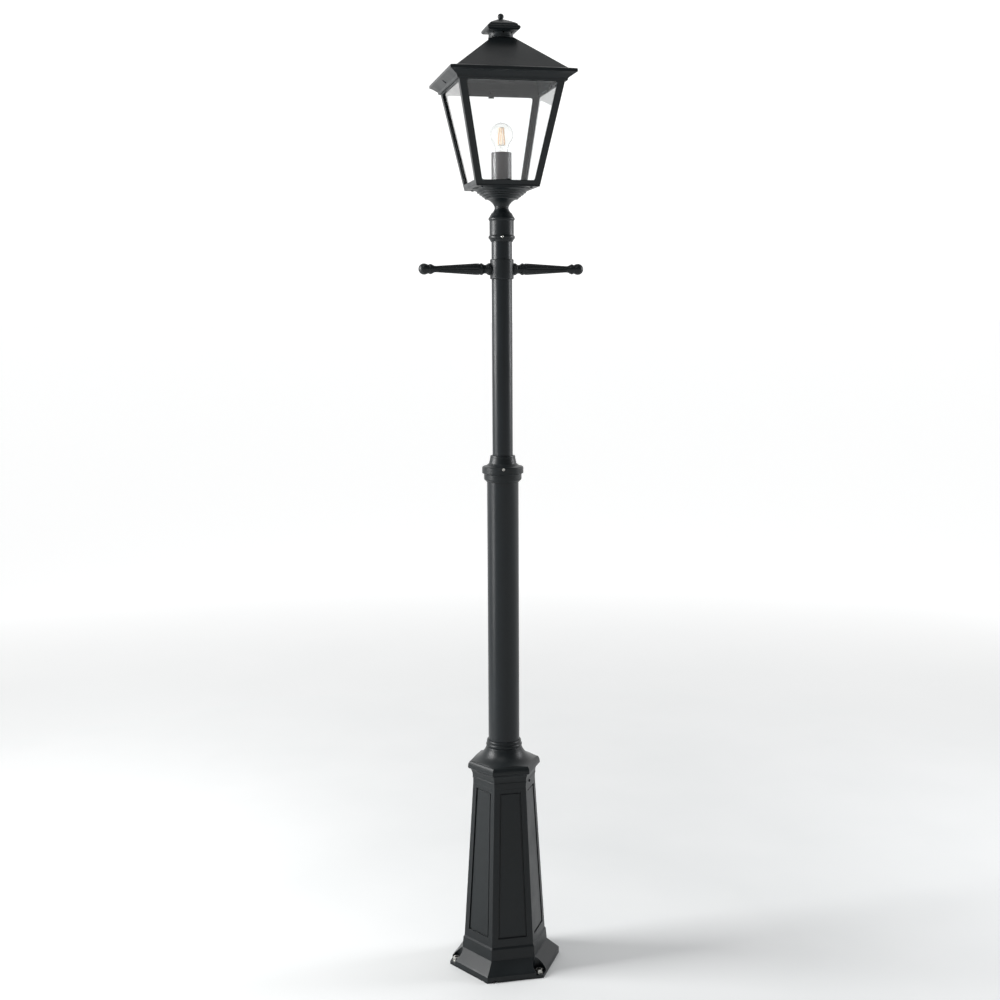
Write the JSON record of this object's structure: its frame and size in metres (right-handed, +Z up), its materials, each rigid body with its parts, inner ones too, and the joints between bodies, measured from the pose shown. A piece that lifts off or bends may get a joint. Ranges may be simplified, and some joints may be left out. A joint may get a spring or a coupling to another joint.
{
  "type": "garden lamp post",
  "caption": "Black garden lamp post: hexagonal panelled pedestal, two-stage round pole, ladder-rest bars and a tapering four-sided glass lantern with a pyramid roof.",
  "frame": {"origin": "centre of the pedestal's underside, on the post's axis", "axes": "+Z up the post, -Y towards the lantern's front pane, the ladder bars and two opposite pedestal corners lie along X"},
  "size_m": [0.4124, 0.2998, 2.3862],
  "materials": {
    "cast_coat": "satin black powder coat on cast aluminium, finely textured",
    "tube_coat": "satin black powder coat on steel tube",
    "zinc_steel": "bright zinc-plated steel",
    "black_zinc": "black-passivated zinc-plated steel",
    "washer_rubber": "black sealing rubber",
    "clear_glass": "clear float glass",
    "sleeve_plastic": "matt black-brown moulded sleeve",
    "holder_plastic": "black moulded thermoset",
    "brass": "stamped brass",
    "terminal_plastic": "natural polyamide",
    "bulb_glass": "clear blown glass",
    "cap_nickel": "nickel-plated screw cap and wires",
    "black_glass": "black glass insulator",
    "solder": "dull solder",
    "filament_coat": "amber phosphor coating on the light-emitting sticks"
  },
  "bodies": {
    "root": {"base_casting": "cast_coat", "anchor_nuts": "zinc_steel", "anchor_washers": "zinc_steel", "pedestal_cap": "cast_coat", "cap_screws": "black_zinc", "socket_screws": "zinc_steel", "lower_pole": "tube_coat", "pole_reducer": "cast_coat", "reducer_grub_screws": "zinc_steel", "upper_pole": "tube_coat"},
    "ladder_rest": {"ladder_collar": "cast_coat", "collar_grub_screw": "zinc_steel", "ladder_bar_left": "cast_coat", "ladder_bar_right": "cast_coat"},
    "lantern_head": {"post_top_fitter": "cast_coat", "fitter_grub_screws": "zinc_steel", "stem_nipple": "zinc_steel", "stem_locknut_lower": "zinc_steel", "stem_locknut_upper": "zinc_steel", "seat_washer": "washer_rubber", "lantern_base": "cast_coat", "tray_screws": "zinc_steel", "lantern_frame": "cast_coat", "glass_front": "clear_glass", "glass_right": "clear_glass", "glass_rear": "clear_glass", "glass_left": "clear_glass", "glass_clips": "black_zinc", "clip_screws": "black_zinc", "holder_sleeve": "sleeve_plastic", "lampholder_body": "holder_plastic", "lampholder_shell": "brass", "lampholder_contact": "brass", "terminal_block": "terminal_plastic", "earth_screw": "zinc_steel"},
    "roof_lid": {"roof": "cast_coat", "roof_screws": "black_zinc", "vent_neck": "cast_coat", "vent_cap": "cast_coat", "finial": "cast_coat", "tie_rod": "zinc_steel", "tie_bridge": "zinc_steel", "tie_nut": "zinc_steel"},
    "bulb": {"bulb_glass": "bulb_glass", "bulb_cap": "cap_nickel", "bulb_insulator": "black_glass", "bulb_contact": "solder", "bulb_stem": "bulb_glass", "bulb_supports": "cap_nickel", "bulb_filaments": "filament_coat"}
  },
  "joints": [
    {"name": "ladder_rest_turn", "type": "hinge", "parent": "root", "child": "ladder_rest", "pos_m": [0, 0, 1.7845], "axis": [0, 0, 1], "range_deg": [-180, 180]},
    {"name": "lantern_turn", "type": "hinge", "parent": "root", "child": "lantern_head", "pos_m": [0, 0, 1.86], "axis": [0, 0, 1], "range_deg": [-180, 180]},
    {"name": "roof_lift", "type": "slide", "parent": "lantern_head", "child": "roof_lid", "axis": [0, 0, 1], "range_m": [0, 0.15]},
    {"name": "bulb_turn", "type": "hinge", "parent": "lantern_head", "child": "bulb", "pos_m": [0, 0, 2.04], "axis": [0, 0, 1], "range_deg": [0, 1080]}
  ]
}
